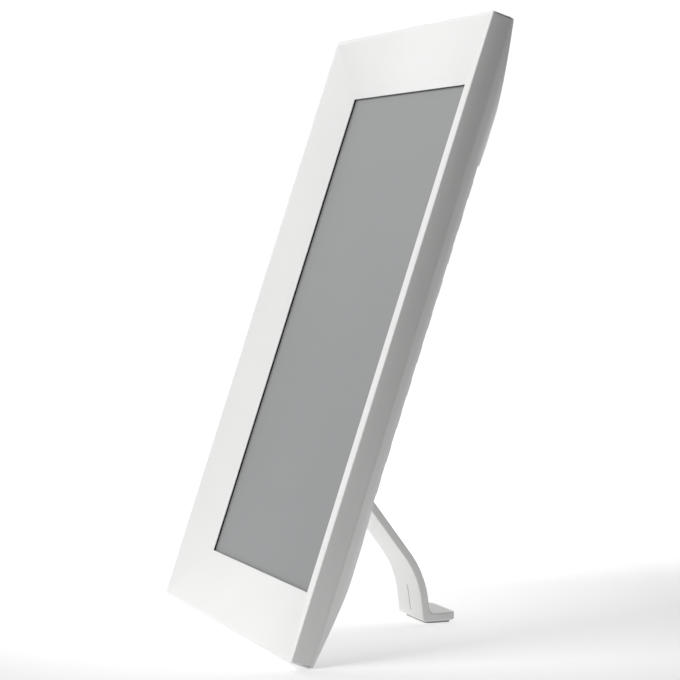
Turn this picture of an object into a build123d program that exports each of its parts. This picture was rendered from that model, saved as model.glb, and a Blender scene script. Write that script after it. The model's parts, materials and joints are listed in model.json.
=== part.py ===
"""Digital photo frame in portrait, leaning back on a hinged leg.

Millimetres, +Z up, the screen faces -Y. The origin is on the table, midway along the footprint.
"""
from build123d import *
import os
from math import cos, radians, sin, tan

os.makedirs("parts", exist_ok=True)

# ---------------------------------------------------------------- outer form
lean = 19.0                  # degrees the screen leans back from upright
case_width = 189.0
case_height = 270.0
cover_edge = 1.0             # straight side wall of the cover, from the joint to the crease
corner_radius = 1.0          # upright corners of both shells
crease_radius = 0.8
wall = 2.0                   # moulded wall of both shells
seam_step = 0.12             # the cover sits this much inside the front frame
lap_height = 1.6             # half-lap between the shells
lap_fit = 0.1

# ---------------------------------------------------------------- sunken bezel
rim = 1.8                    # flat lip round the bezel
bezel = 27.0                 # from the outside edge to the screen opening
recess = 7.5                 # how far the bezel slopes in
lip_edge = 0.5               # straight edge of the opening

# ---------------------------------------------------------------- back
back_slope = 12.7            # degrees, from the top and bottom edges up to the crest
crest_from_edge = 42.0
flat_from_edge = 67.0
crest_blend = 30.0
flat_blend = 110.0
flank_angle = 60.0           # degrees at which the side flanks leave the crease
flank_radius = 20.0
groove_count = 11
groove_from_bottom = 69.0    # middle of the lowest groove
groove_from_top = 63.0       # middle of the highest groove
groove_width = 6.9
groove_depth = 0.4
vent_length = 34.0
vent_width = 1.6
vent_offset = 44.0           # vents lie this far each side of the middle
sound_slots = 3              # in each of the two lowest grooves, over each speaker
sound_slot_width = 1.2
sound_slot_pitch = 2.2

# ---------------------------------------------------------------- display panel
side_border = 7.05           # the panel reaches this far beyond the opening at the sides
end_border = 6.75            # and this far at the top and bottom
nest_gap = 0.2               # panel to its nest
nest_wall = 1.5
nest_drop = 0.6              # the nest stops this far short of the panel's back
seat_reach = 4.5             # the nest's seat ends this far out from the opening
gasket_thick = 0.6
gasket_inset = 0.4
cell_thick = 1.2
film_thick = 0.3
guide_thick = 0.8
tray_sheet = 0.5
tray_clear = 0.31            # the panel's back edge to the sloping back
sheet_gap = 0.1              # between the panel's loose sheets and their tray
led_bar_width = 3.0

# ---------------------------------------------------------------- brackets, boards
bracket_sheet = 0.6
bracket_width = 10.5
bracket_drop = 4.0           # upper bracket's middle below the main board's lower edge
bracket_screw_length = 5.0
board_thick = 0.8
board_pad = 0.5              # raised pads of the bracket under the main board
board_clear = 0.6            # the main board's top edge to the sloping back
board_screw_span = 26.5      # between the main board's two rows of screws
skin_gap = 0.3               # the main board's face to the flat of the back
main_board_width = 74.0
main_board_height = 36.0
board_side_gap = 6.6         # boards start this far in from the side
tab_gap = 4.1                # the bracket's tab starts this far from the card socket
card_width = 24.4
card_slot = 2.3
card_socket_length = 28.0
card_socket_sheet = 0.2
card_sink = 0.6              # the socket sinks this far below the board's face
socket_clear = 0.1           # the socket's upper corner to the sloping back
mouth_clear = 0.5            # the socket's mouth to the flank
processor_size = 14.0
processor_height = 1.2
processor_edge = 0.24        # chamfer round its lid
memory_width = 8.0
memory_length = 11.0
memory_height = 1.0
memory_gap = 1.5
chip_gap = 3.0               # processor to the memory chips
port_board_length = 26.0
port_board_width = 24.0
port_board_gap = 0.5         # port board to the lower bracket
coil_size = 6.0
coil_height = 1.2
coil_gap = 1.5               # coil to the port board's screw
jack_height = 6.0
jack_width = 6.6
jack_length = 12.0
jack_nose = 5.6              # diameter
jack_lead = 4.6              # wide first stretch of the bore
jack_bore = 3.6
jack_pin = 1.3
jack_pin_setback = 0.3       # the centre pin starts this far behind the wide stretch
jack_mouth_inset = 0.4
jack_below = 6.5             # jack below the port board's middle
usb_width = 7.7
usb_height = 3.9
usb_length = 9.2
usb_sheet = 0.4
usb_tongue = 0.8
usb_tongue_gap = 0.8
usb_mouth_inset = 0.8
usb_above = 5.0              # USB socket above the port board's middle
port_fit = 0.15
link_width = 9.0
link_thick = 0.2
link_inset = 23.0            # link cable's middle, in from the side
display_cable_width = 20.0
button_cable_width = 3.6
cable_clear = 0.6            # button cable to the head of the bracket's screw
speaker_length = 24.0
speaker_depth = 4.5
cone_recess = 0.9
speaker_clear = 0.36         # speaker to the flank and to the panel's nest
speaker_gap = 0.9            # speaker to the lower bracket

# ---------------------------------------------------------------- buttons
button_groove = 2            # the lowest button sits in this groove, counted from the bottom
button_names = ["down_button", "up_button", "left_button", "right_button", "menu_button",
                "power_button"]
button_diameter = 6.0
button_fit = 0.3
button_proud = 0.9
button_edge = 0.3            # chamfer round a button's face
button_flange = 8.0
button_flange_thick = 0.7
button_travel = 0.5
button_rest_gap = 0.1
flange_clear = 0.6           # flange to the inside of the flank
switch_size = 4.5
switch_height = 2.2
plunger_diameter = 2.2
plunger_height = 0.6
button_board_outer = 5.0     # board beyond the line of buttons, towards the side
button_board_gap = 2.25      # board to the panel's nest
button_board_margin = 4.7    # board beyond the end switches

# ---------------------------------------------------------------- fasteners
boss_diameter = 6.0
boss_inset = 11.0            # bosses stand this far in from the edges
boss_sink = 0.1              # bosses and nest begin this far behind the bezel's face
case_screw = 2.6
case_screw_head = 4.6
case_head_height = 1.2
case_screw_floor = 1.7       # plastic under a case screw's head
counterbore_fit = 0.3
small_screw = 2.0
small_head = 3.6
small_head_height = 0.7
thread_fit = 0.05
screw_tip = 1.0              # plastic left beyond a screw's tip

# ---------------------------------------------------------------- wall keyhole
keyhole_head = 10.0
keyhole_slot = 4.5
keyhole_rise = 8.0
keyhole_from_top = 45.0

# ---------------------------------------------------------------- leg and hinge
hinge_height = 84.4          # along the case from its bottom edge
hinge_pad_thick = 0.4
hinge_pad_width = 38.0
hinge_pad_height = 26.0
ear_radius = 4.0
ear_thick = 5.4
barrel_radius = 3.6
barrel_gap = 0.4             # barrel to the hinge pad
barrel_length = 18.4
washer_thick = 0.35
washer_radius = 3.2
washer_play = 0.05
pin_diameter = 3.0
pin_fit = 0.05
pin_recess = 0.5
leg_width = 30.0
leg_thick = 3.4
shoulder_gap = 1.4           # the leg's full width begins this far outside the ears
leg_angle = 54.2             # degrees below level, upper straight part
leg_straight = 56.0
leg_bend = 42.3
shin_angle = 84.0            # degrees below level at the foot
leg_side_radius = 1.0
leg_long_edge = 3.74         # edges of its side faces longer than this are softened
heel_gap = 0.15              # heel of the leg to the hinge pad, the open stop
foot_length = 15.5
foot_corner = 4.0
foot_inner = 2.6
pad_thick = 1.0
pad_inset = 2.0
slit_width = 1.0
slit_depth = 1.0
slit_low = 4.5
slit_high = 16.0

# ---------------------------------------------------------------- depths, from the lip backwards
slope_rad = radians(back_slope)
side_x = case_width / 2
end_y = case_height / 2
opening_width = case_width - 2 * bezel
opening_height = case_height - 2 * bezel
panel_width = opening_width + 2 * side_border
panel_height = opening_height + 2 * end_border
gasket_front = recess + lip_edge
panel_front = gasket_front + gasket_thick
film_front = panel_front + cell_thick
guide_front = film_front + film_thick
tray_floor = guide_front + guide_thick
panel_back = tray_floor + tray_sheet
board_front = panel_back + bracket_sheet + board_pad
board_back = board_front + board_thick
port_board_front = board_front - link_thick - board_thick
port_board_back = port_board_front + board_thick
flat_depth = board_back + skin_gap + wall                    # outside of the flat of the back
skin_depth = flat_depth - wall                               # and its inside
# the side walls are just deep enough for the sloping back to clear the panel's end
panel_end_rise = (bezel - end_border - seam_step) * tan(slope_rad)
crease_depth = panel_back + tray_clear + wall / cos(slope_rad) - panel_end_rise
part_line = crease_depth - cover_edge                        # joint between front frame and cover
crest_depth = crease_depth + crest_from_edge * tan(slope_rad)


def bezel_depth(inset):
    """Depth of the bezel's face at a distance in from the outside edge."""
    return recess * (inset - rim) / (bezel - rim)


def back_depth(inset):
    """Depth of the back's outside at a distance in from the top or bottom edge."""
    return crease_depth + inset * tan(slope_rad)


def slope_inset(depth):
    """How far in from the top or bottom edge the inside of the sloping back lies at a depth."""
    return seam_step + (depth + wall / cos(slope_rad) - crease_depth) / tan(slope_rad)


def flank_inset(depth):
    """How far in from the side the inside of a flank lies at a depth."""
    centre_depth = crease_depth - flank_radius * cos(radians(flank_angle))
    reach = (flank_radius - wall) ** 2 - (depth - centre_depth) ** 2
    return flank_radius * sin(radians(flank_angle)) - reach ** 0.5


def boss_root(inset):
    """Depth at which a boss this far in from the edge begins, just inside the bezel's wall."""
    return bezel_depth(inset + boss_diameter / 2) + boss_sink


# ---------------------------------------------------------------- places inside the case
nest_width = panel_width + 2 * nest_gap
nest_height = panel_height + 2 * nest_gap
nest_x = nest_width / 2 + nest_wall                          # outside of the panel's nest
groove_pitch = (case_height - groove_from_bottom - groove_from_top) / (groove_count - 1)
groove_heights = [groove_from_bottom - end_y + i * groove_pitch for i in range(groove_count)]
boss_x = side_x - boss_inset
boss_y = end_y - boss_inset
case_bosses = [(x, y) for x in (-boss_x, 0, boss_x) for y in (-boss_y, boss_y)]

# buttons and their board
button_heights = [groove_heights[button_groove + i] for i in range(len(button_names))]
button_seat = flat_depth - groove_depth
flange_back = button_seat - (wall - groove_depth) - button_rest_gap
button_inset = flank_inset(flange_back) + flange_clear + button_flange / 2
button_x = side_x - button_inset
button_board_back = flange_back - button_flange_thick - button_travel - 2 * button_rest_gap
button_board_back -= plunger_height + switch_height
button_board_front = button_board_back - board_thick
end_pairs = (button_heights[:2], button_heights[-2:])
board_posts = [(-button_x, sum(pair) / 2) for pair in end_pairs]

# main board, under the sloping back
board_left = board_side_gap - side_x
board_right = board_left + main_board_width
board_top = end_y - slope_inset(board_back + board_clear)
board_bottom = board_top - main_board_height
socket_front = board_front - card_sink
socket_thick = card_slot + 2 * card_socket_sheet
socket_height = card_width + 2 * card_socket_sheet
card_depth = socket_front + socket_thick / 2
card_y = end_y - slope_inset(socket_front + socket_thick + socket_clear) - socket_height / 2
card_mouth_inset = flank_inset(socket_front + socket_thick) + mouth_clear
socket_left = card_mouth_inset - side_x
socket_right = socket_left + card_socket_length
upper_bracket_height = board_bottom - bracket_drop

# speakers, lower bracket and port board, from the lowest grooves downwards
speaker_width = side_x - nest_x - flank_inset(skin_depth) - 2 * speaker_clear
speaker_x = nest_x + speaker_clear + speaker_width / 2
speaker_y = sum(groove_heights[:2]) / 2
lower_bracket_height = speaker_y - speaker_length / 2 - speaker_gap - bracket_width / 2
port_board_top = lower_bracket_height - bracket_width / 2 - port_board_gap
port_board_height = port_board_top - port_board_length / 2
jack_y = port_board_height - jack_below
usb_y = port_board_height + usb_above
jack_depth = port_board_front - jack_height / 2
usb_depth = port_board_front - usb_height / 2
port_boss_inset = jack_length + port_board_gap + boss_diameter / 2
port_boss = (port_boss_inset - side_x, (jack_y + jack_width / 2 + usb_y - usb_width / 2) / 2)
bracket_bosses = [(x, y) for x in (-boss_x, boss_x) for y in (lower_bracket_height, upper_bracket_height)]

# screw tips, in front of which each boss is solid
case_tip = boss_root(boss_inset) + screw_tip
post_tip = boss_root(button_inset) + screw_tip
port_tip = boss_root(port_boss_inset) + screw_tip

# wall keyhole and hinge, on the case's middle line
keyhole_y = end_y - keyhole_from_top
hinge_y = hinge_height - end_y
pad_depth = flat_depth + hinge_pad_thick
hinge_depth = pad_depth + barrel_gap + barrel_radius
leg_start = ear_radius + shoulder_gap

# ---------------------------------------------------------------- how the case stands
up = Vector(0, sin(radians(lean)), cos(radians(lean)))       # along the case, upwards
back = Vector(0, cos(radians(lean)), -sin(radians(lean)))    # out of the case's back
# the cover's rounded crease, not its sharp corner, meets the table
crease_inset = crease_radius * (1 - sin(slope_rad)) / cos(slope_rad)
crease_lift = crease_radius * (up.Z - 1) - crease_inset * back.Z + seam_step * up.Z


def in_case(height, depth):
    """World point in the middle of the case, this far up from its bottom edge and behind the lip."""
    return up * height + back * (depth - crease_depth) - Vector(0, 0, crease_lift)


# the leg's side view, on the table before the whole frame is centred
hinge_point = in_case(hinge_height, hinge_depth)
leg_dir = Vector(0, cos(radians(leg_angle)), -sin(radians(leg_angle)))
shin_dir = Vector(0, cos(radians(shin_angle)), -sin(radians(shin_angle)))
knee = hinge_point + leg_dir * leg_straight
bend_centre = knee + Vector(0, leg_dir.Z, -leg_dir.Y) * leg_bend
ankle = bend_centre - Vector(0, shin_dir.Z, -shin_dir.Y) * leg_bend
sole_drop = ankle.Z - pad_thick
sole = ankle + shin_dir * (sole_drop / -shin_dir.Z)
foot_front = sole.Y - leg_thick / 2 / sin(radians(shin_angle))
foot_back = foot_front + foot_length
case_front = in_case(0, 0)
shift = Vector(0, -(case_front.Y + foot_back) / 2, 0)        # centres the footprint on the origin

lip_plane = Plane(origin=in_case(end_y, 0) + shift, x_dir=(1, 0, 0), z_dir=-back)


def at_depth(depth):
    """Plane parallel to the screen, behind the lip; its normal points out of the front."""
    return lip_plane.offset(-depth)


# side view: x runs up the case, y runs towards the front, the normal is +X
side_plane = Plane(origin=lip_plane.origin, x_dir=up, z_dir=(1, 0, 0))
side_face = side_plane.offset(-side_x)                       # the left side wall, seen from inside
# view along the case: x is +X, y runs towards the front
section_plane = Plane(origin=lip_plane.origin, x_dir=(1, 0, 0), z_dir=-up)
leg_plane = Plane(origin=shift, x_dir=(0, 1, 0), z_dir=(1, 0, 0))


def back_form(inset):
    """Solid form of the rear cover, moved in by an inset all round, from the joint backwards."""
    end = end_y - seam_step
    side = side_x - seam_step
    start = part_line - inset
    run = cos(radians(flank_angle))
    rise = sin(radians(flank_angle))
    top_depth = crease_depth + flank_radius * (1 - run)
    with BuildPart() as form:
        with BuildSketch(side_plane) as profile:
            with BuildLine():
                Polyline(
                    (-end, -start),
                    (-end, -crease_depth),
                    (crest_from_edge - end, -crest_depth),
                    (flat_from_edge - end, -flat_depth),
                    (end - flat_from_edge, -flat_depth),
                    (end - crest_from_edge, -crest_depth),
                    (end, -crease_depth),
                    (end, -start),
                    close=True,
                )
            make_face()
            by_depth = profile.vertices().group_by(Axis.Y)
            fillet(by_depth[0], crest_blend)
            fillet(by_depth[1], flat_blend)
            fillet(by_depth[2], crease_radius)
            if inset:
                offset(amount=-inset, kind=Kind.INTERSECTION)
        extrude(amount=side_x, both=True)
        with BuildSketch(section_plane) as section:
            with BuildLine():
                Polyline((-side, -crease_depth), (-side, -start), (side, -start), (side, -crease_depth))
                JernArc((side, -crease_depth), (-run, -rise), flank_radius, -flank_angle)
                JernArc((-side, -crease_depth), (run, -rise), flank_radius, flank_angle)
                Line(
                    (side - flank_radius * rise, -top_depth),
                    (flank_radius * rise - side, -top_depth),
                )
            make_face()
            fillet(section.vertices().group_by(Axis.Y)[-2], crease_radius)
            if inset:
                offset(amount=-inset, kind=Kind.INTERSECTION)
        extrude(amount=end_y, both=True, mode=Mode.INTERSECT)
    return form.part


# ================================================================ front frame
# each group of bosses: places, the tip of its screws, the depth it reaches, its screw
boss_groups = [
    (case_bosses, case_tip, part_line, case_screw),
    (bracket_bosses, case_tip, panel_back, small_screw),
    (board_posts, post_tip, button_board_front, small_screw),
    ([port_boss], port_tip, port_board_front, small_screw),
]
nest_start = bezel_depth(bezel - seat_reach) + boss_sink

with BuildPart() as front_frame:
    # side walls
    with BuildSketch(at_depth(0)):
        RectangleRounded(case_width, case_height, corner_radius)
        Rectangle(case_width - 2 * wall, case_height - 2 * wall, mode=Mode.SUBTRACT)
    extrude(amount=-part_line)
    # sloping bezel: the outer body, then its sunken face
    with BuildSketch(at_depth(0)):
        Rectangle(case_width - 2 * rim, case_height - 2 * rim)
    extrude(amount=-wall)
    with BuildSketch(at_depth(wall)):
        Rectangle(case_width - 2 * rim, case_height - 2 * rim)
    with BuildSketch(at_depth(wall + recess)):
        Rectangle(opening_width, opening_height)
    loft()
    with BuildSketch(at_depth(0)):
        Rectangle(case_width - 2 * rim, case_height - 2 * rim)
    with BuildSketch(at_depth(recess)):
        Rectangle(opening_width, opening_height)
    loft(mode=Mode.SUBTRACT)
    # nest round the display panel
    with BuildSketch(at_depth(nest_start)):
        Rectangle(nest_width + 2 * nest_wall, nest_height + 2 * nest_wall)
        Rectangle(opening_width + 2 * seat_reach, opening_height + 2 * seat_reach, mode=Mode.SUBTRACT)
    extrude(amount=nest_start - panel_back + nest_drop)
    # screw bosses for the cover, the brackets and the boards, with their pilot holes
    for places, tip, top, screw in boss_groups:
        with BuildSketch(at_depth(tip - screw_tip)):
            with Locations(*places):
                Circle(boss_diameter / 2)
        extrude(amount=tip - screw_tip - top)
        with BuildSketch(at_depth(tip)):
            with Locations(*places):
                Circle(screw / 2 + thread_fit)
        extrude(amount=tip - top, mode=Mode.SUBTRACT)
    # the panel's space and the screen opening
    with BuildSketch(at_depth(gasket_front)):
        Rectangle(nest_width, nest_height)
    extrude(amount=-wall - recess, mode=Mode.SUBTRACT)
    with BuildSketch(at_depth(0)):
        Rectangle(opening_width, opening_height)
    extrude(amount=-panel_back, mode=Mode.SUBTRACT)
    # half-lap for the cover's tongue
    with BuildSketch(at_depth(part_line - lap_height - lap_fit)):
        Rectangle(case_width - wall, case_height - wall)
        Rectangle(case_width - 3 * wall, case_height - 3 * wall, mode=Mode.SUBTRACT)
    extrude(amount=-lap_height - lap_fit, mode=Mode.SUBTRACT)
    # side notches for the power jack and the USB socket
    with BuildSketch(side_face):
        with Locations((jack_y, -jack_depth)):
            Circle(jack_nose / 2 + port_fit)
        with Locations((usb_y, -usb_depth)):
            Rectangle(usb_width + 2 * port_fit, usb_height + 2 * port_fit)
    extrude(amount=2 * wall, mode=Mode.SUBTRACT)
front_frame.part.label = "front_frame"
export_step(front_frame.part, "parts/front_frame.step")

# ================================================================ rear cover
ear_inner = barrel_length / 2 + washer_thick + washer_play
ear_outer = ear_inner + ear_thick
screw_floor = part_line + case_screw_floor
cut_start = skin_depth - wall                                # cuts through the back start here

with BuildPart() as rear_cover:
    add(back_form(0))
    with BuildSketch(at_depth(part_line)):
        RectangleRounded(case_width - 2 * seam_step, case_height - 2 * seam_step, corner_radius)
    extrude(amount=-crest_depth, mode=Mode.INTERSECT)
    # shallow grooves across the flat of the back
    with BuildSketch(at_depth(flat_depth - groove_depth)):
        with Locations(*[(0, y) for y in groove_heights]):
            Rectangle(case_width, groove_width)
    extrude(amount=-wall, mode=Mode.SUBTRACT)
    # pad under the hinge
    with BuildSketch(at_depth(skin_depth)):
        with Locations((0, hinge_y)):
            RectangleRounded(hinge_pad_width, hinge_pad_height, ear_radius)
    extrude(amount=skin_depth - pad_depth)
    add(back_form(wall), mode=Mode.SUBTRACT)
    # tongue that laps inside the front frame
    with BuildSketch(at_depth(part_line)):
        Rectangle(case_width - wall - 2 * lap_fit, case_height - wall - 2 * lap_fit)
        Rectangle(case_width - 2 * wall, case_height - 2 * wall, mode=Mode.SUBTRACT)
    extrude(amount=lap_height)
    # screw posts, each ending inside the sloping skin
    with BuildSketch(at_depth(part_line)):
        with Locations(*case_bosses):
            Circle(boss_diameter / 2)
    extrude(amount=part_line - back_depth(boss_inset) + wall / 2)
    with BuildSketch(at_depth(part_line)):
        with Locations(*case_bosses):
            Circle(case_screw / 2 + counterbore_fit)
    extrude(amount=-wall - case_screw_floor, mode=Mode.SUBTRACT)
    with BuildSketch(at_depth(screw_floor)):
        with Locations(*case_bosses):
            Circle(case_screw_head / 2 + counterbore_fit)
    extrude(amount=-2 * wall, mode=Mode.SUBTRACT)
    # vents in the grooves
    with BuildSketch(at_depth(cut_start)):
        with Locations(*[(x, y) for x in (-vent_offset, vent_offset) for y in groove_heights]):
            Rectangle(vent_length, vent_width)
    extrude(amount=-3 * wall, mode=Mode.SUBTRACT)
    # sound slots over the speakers
    with BuildSketch(at_depth(cut_start)):
        with Locations(*[(x, y) for x in (-speaker_x, speaker_x) for y in groove_heights[:2]]):
            with GridLocations(1, sound_slot_pitch, 1, sound_slots):
                Rectangle(speaker_width - wall, sound_slot_width)
    extrude(amount=-3 * wall, mode=Mode.SUBTRACT)
    # button holes
    with BuildSketch(at_depth(cut_start)):
        with Locations(*[(-button_x, y) for y in button_heights]):
            Circle(button_diameter / 2 + button_fit)
    extrude(amount=-3 * wall, mode=Mode.SUBTRACT)
    # wall keyhole
    with BuildSketch(at_depth(skin_depth)):
        with Locations((0, keyhole_y)):
            Circle(keyhole_head / 2)
        with Locations((0, keyhole_y + keyhole_rise / 2)):
            SlotCenterToCenter(keyhole_rise, keyhole_slot, rotation=90)
    extrude(amount=-3 * wall, mode=Mode.SUBTRACT)
    # card slot, power jack and USB openings in the left flank
    with BuildSketch(side_face):
        with Locations((card_y, -card_depth)):
            Rectangle(card_width + 2 * port_fit, card_slot + 2 * port_fit)
    extrude(amount=card_mouth_inset, mode=Mode.SUBTRACT)
    with BuildSketch(side_face):
        with Locations((jack_y, -jack_depth)):
            Circle(jack_nose / 2 + port_fit)
        with Locations((usb_y, -usb_depth)):
            Rectangle(usb_width + 2 * port_fit, usb_height + 2 * port_fit)
    extrude(amount=3 * wall, mode=Mode.SUBTRACT)
    # hinge ears and the pin's bore through both
    for side in (-1, 1):
        with BuildSketch(side_plane.offset(side * (ear_inner + ear_thick / 2))):
            with Locations((hinge_y, -hinge_depth)):
                Circle(ear_radius)
            with Locations((hinge_y, -(hinge_depth + skin_depth) / 2)):
                Rectangle(2 * ear_radius, hinge_depth - skin_depth)
        extrude(amount=ear_thick / 2, both=True)
    with BuildSketch(side_plane):
        with Locations((hinge_y, -hinge_depth)):
            Circle(pin_diameter / 2 + pin_fit)
    extrude(amount=ear_outer, both=True, mode=Mode.SUBTRACT)
rear_cover.part.label = "rear_cover"
export_step(rear_cover.part, "parts/rear_cover.step")

# ================================================================ hinge
with BuildPart() as hinge_pin:
    with BuildSketch(side_plane):
        with Locations((hinge_y, -hinge_depth)):
            Circle(pin_diameter / 2)
    extrude(amount=ear_outer - pin_recess, both=True)
hinge_pin.part.label = "hinge_pin"
export_step(hinge_pin.part, "parts/hinge_pin.step")

with BuildPart() as friction_washers:
    for side in (-1, 1):
        with BuildSketch(side_plane.offset(side * (ear_inner - washer_thick / 2))):
            with Locations((hinge_y, -hinge_depth)):
                Circle(washer_radius)
                Circle(pin_diameter / 2 + pin_fit, mode=Mode.SUBTRACT)
        extrude(amount=washer_thick / 2, both=True)
friction_washers.part.label = "friction_washers"
export_step(friction_washers.part, "parts/friction_washers.step")

# ================================================================ leg
heel_depth = pad_depth + heel_gap
leg_top = hinge_point + leg_dir * leg_start
leg_out = Vector(0, -leg_dir.Z, leg_dir.Y) * (leg_thick / 2)     # from the leg's middle to its rear face
shin_out = Vector(0, -shin_dir.Z, shin_dir.Y) * (leg_thick / 2)
foot_top = pad_thick + leg_thick
shin_rear = ankle + shin_out + shin_dir * ((ankle.Z + shin_out.Z - foot_top) / -shin_dir.Z)
shin_front = ankle - shin_out + shin_dir * ((ankle.Z - shin_out.Z - pad_thick) / -shin_dir.Z)


def side_point(place):
    """A place in the leg's side view."""
    return (place.Y, place.Z)


with BuildPart() as leg:
    # flat arm and foot in side view: straight, one bend, shin, foot plate
    with BuildSketch(leg_plane) as arm:
        with BuildLine():
            Line(side_point(leg_top + leg_out), side_point(knee + leg_out))
            rear_bend = leg_bend + leg_thick / 2
            JernArc(side_point(knee + leg_out), side_point(leg_dir), rear_bend, leg_angle - shin_angle)
            Polyline(
                side_point(ankle + shin_out),
                side_point(shin_rear),
                (foot_back, foot_top),
                (foot_back, pad_thick),
                side_point(shin_front),
                side_point(ankle - shin_out),
            )
            front_bend = leg_bend - leg_thick / 2
            JernArc(side_point(knee - leg_out), side_point(leg_dir), front_bend, leg_angle - shin_angle)
            Polyline(
                side_point(knee - leg_out), side_point(leg_top - leg_out), side_point(leg_top + leg_out)
            )
        make_face()
        fillet(arm.vertices().sort_by_distance(side_point(shin_rear))[0], foot_inner)
        fillet(arm.vertices().sort_by_distance(side_point(shin_front))[0], leg_side_radius)
    extrude(amount=leg_width / 2, both=True)
    foot_rear = leg.faces().sort_by(Axis.Y)[-1]
    fillet(foot_rear.edges().filter_by(Axis.Z), foot_corner)
    # softened long edges on both sides
    side_edges = leg.faces().filter_by(Axis.X).edges()
    fillet(side_edges.filter_by(lambda edge: edge.length > leg_long_edge), leg_side_radius / 2)
    # hinge barrel, neck and heel
    with BuildSketch(leg_plane):
        with Locations(Location((hinge_point.Y, hinge_point.Z, 0), (0, 0, -leg_angle))):
            Circle(barrel_radius)
            Rectangle(2 * leg_start + leg_thick, leg_thick)
    extrude(amount=barrel_length / 2, both=True)
    with BuildSketch(at_depth(heel_depth)):
        with Locations((0, hinge_y)):
            Rectangle(barrel_length, hinge_pad_height)
    extrude(amount=leg_start, mode=Mode.SUBTRACT)
    with BuildSketch(leg_plane):
        with Locations((hinge_point.Y, hinge_point.Z)):
            Circle(pin_diameter / 2 + pin_fit)
    extrude(amount=barrel_length, both=True, mode=Mode.SUBTRACT)
    # narrow slit low on the front face
    slit_middle = ankle - shin_out
    with BuildSketch(leg_plane):
        with Locations(Location((slit_middle.Y, slit_middle.Z, 0), (0, 0, -shin_angle))):
            Rectangle(slit_high - slit_low, 2 * slit_depth)
    extrude(amount=slit_width / 2, both=True, mode=Mode.SUBTRACT)
leg.part.label = "leg"
export_step(leg.part, "parts/leg.step")

foot_middle = Vector(0, (foot_front + foot_back) / 2, 0) + shift
with BuildPart() as foot_pad:
    with BuildSketch(Plane(origin=foot_middle)):
        RectangleRounded(leg_width - 2 * pad_inset, foot_length - 2 * pad_inset, foot_corner - pad_inset)
    extrude(amount=pad_thick)
foot_pad.part.label = "foot_pad"
export_step(foot_pad.part, "parts/foot_pad.step")

# ================================================================ display panel
inner_width = panel_width - 2 * tray_sheet - 2 * sheet_gap
inner_height = panel_height - 2 * tray_sheet - 2 * sheet_gap
guide_height = inner_height - led_bar_width - sheet_gap

with BuildPart() as panel_gasket:
    with BuildSketch(at_depth(gasket_front)):
        Rectangle(panel_width, panel_height)
        Rectangle(opening_width + 2 * gasket_inset, opening_height + 2 * gasket_inset, mode=Mode.SUBTRACT)
    extrude(amount=-gasket_thick)
panel_gasket.part.label = "panel_gasket"
export_step(panel_gasket.part, "parts/panel_gasket.step")

with BuildPart() as backlight_tray:
    with BuildSketch(at_depth(panel_front)):
        Rectangle(panel_width, panel_height)
    extrude(amount=panel_front - panel_back)
    with BuildSketch(at_depth(panel_front)):
        Rectangle(panel_width - 2 * tray_sheet, panel_height - 2 * tray_sheet)
    extrude(amount=panel_front - tray_floor, mode=Mode.SUBTRACT)
backlight_tray.part.label = "backlight_tray"
export_step(backlight_tray.part, "parts/backlight_tray.step")

with BuildPart() as lcd_cell:
    with BuildSketch(at_depth(panel_front)):
        Rectangle(inner_width, inner_height)
    extrude(amount=-cell_thick)
lcd_cell.part.label = "lcd_cell"
export_step(lcd_cell.part, "parts/lcd_cell.step")

with BuildPart() as diffuser_films:
    with BuildSketch(at_depth(film_front)):
        Rectangle(inner_width, inner_height)
    extrude(amount=-film_thick)
diffuser_films.part.label = "diffuser_films"
export_step(diffuser_films.part, "parts/diffuser_films.step")

with BuildPart() as light_guide:
    with BuildSketch(at_depth(guide_front)):
        with Locations((0, (inner_height - guide_height) / 2)):
            Rectangle(inner_width, guide_height)
    extrude(amount=-guide_thick)
light_guide.part.label = "light_guide"
export_step(light_guide.part, "parts/light_guide.step")

with BuildPart() as led_bar:
    with BuildSketch(at_depth(guide_front)):
        with Locations((0, (led_bar_width - inner_height) / 2)):
            Rectangle(inner_width, led_bar_width)
    extrude(amount=-guide_thick)
led_bar.part.label = "led_bar"
export_step(led_bar.part, "parts/led_bar.step")

# ================================================================ brackets
tab_left = socket_right + tab_gap
tab_width = board_right - tab_left
tab_middle = (tab_left + board_right) / 2
screw_row = board_top - small_head - board_screw_span
board_screws_at = [
    (x, y)
    for x in (tab_left + small_head, board_right - small_head)
    for y in (screw_row, board_top - small_head)
]

with BuildPart() as upper_bracket:
    with BuildSketch(at_depth(panel_back)):
        with Locations((0, upper_bracket_height)):
            Rectangle(2 * boss_x + boss_diameter, bracket_width)
        with Locations((tab_middle, (upper_bracket_height + board_top) / 2)):
            Rectangle(tab_width, board_top - upper_bracket_height)
    extrude(amount=-bracket_sheet)
    # raised pads under the main board
    with BuildSketch(at_depth(panel_back + bracket_sheet)):
        with Locations(*board_screws_at):
            Circle(small_head / 2)
    extrude(amount=-board_pad)
    with BuildSketch(at_depth(panel_back)):
        with Locations(*(board_screws_at + [(x, upper_bracket_height) for x in (-boss_x, boss_x)])):
            Circle(small_screw / 2 + thread_fit)
    extrude(amount=-bracket_sheet - board_pad, mode=Mode.SUBTRACT)
upper_bracket.part.label = "upper_bracket"
export_step(upper_bracket.part, "parts/upper_bracket.step")

with BuildPart() as lower_bracket:
    with BuildSketch(at_depth(panel_back)):
        with Locations((0, lower_bracket_height)):
            Rectangle(2 * boss_x + boss_diameter, bracket_width)
    extrude(amount=-bracket_sheet)
    with BuildSketch(at_depth(panel_back)):
        with Locations(*[(x, lower_bracket_height) for x in (-boss_x, boss_x)]):
            Circle(small_screw / 2 + thread_fit)
    extrude(amount=-bracket_sheet, mode=Mode.SUBTRACT)
lower_bracket.part.label = "lower_bracket"
export_step(lower_bracket.part, "parts/lower_bracket.step")


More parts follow.
